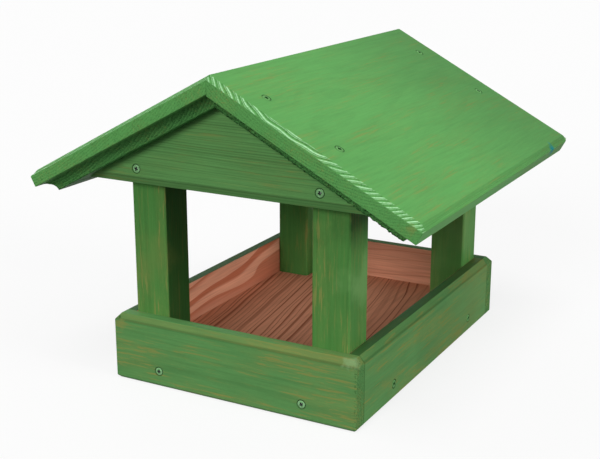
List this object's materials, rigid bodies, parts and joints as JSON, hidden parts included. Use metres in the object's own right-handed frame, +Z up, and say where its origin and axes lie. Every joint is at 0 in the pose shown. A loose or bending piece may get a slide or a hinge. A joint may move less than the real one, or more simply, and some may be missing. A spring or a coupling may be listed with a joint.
{
  "type": "wooden bird feeder",
  "caption": "House-shaped wooden bird feeder: open seed tray with corner posts, gable boards and a saddle roof with moulded edges, stained green.",
  "frame": {"origin": "centre of the tray on the plane that the rails rest on", "axes": "+Z up, -Y towards the front gable, ridge along Y, +X to the right"},
  "size_m": [0.4206, 0.43, 0.3281],
  "materials": {
    "stained_wood": "green semi-transparent wood stain, satin, with ochre grain showing through",
    "bare_wood": "bare planed softwood, reddish, with dark growth rings",
    "screw_steel": "zinc-plated countersunk screw heads with a cross recess"
  },
  "bodies": {
    "root": {"front_rail": "stained_wood", "back_rail": "stained_wood", "left_rail": "stained_wood", "right_rail": "stained_wood", "floor_board": "bare_wood", "front_left_post": "stained_wood", "front_right_post": "stained_wood", "back_left_post": "stained_wood", "back_right_post": "stained_wood", "front_gable": "stained_wood", "back_gable": "stained_wood", "left_roof_board": "stained_wood", "right_roof_board": "stained_wood"}
  },
  "joints": []
}
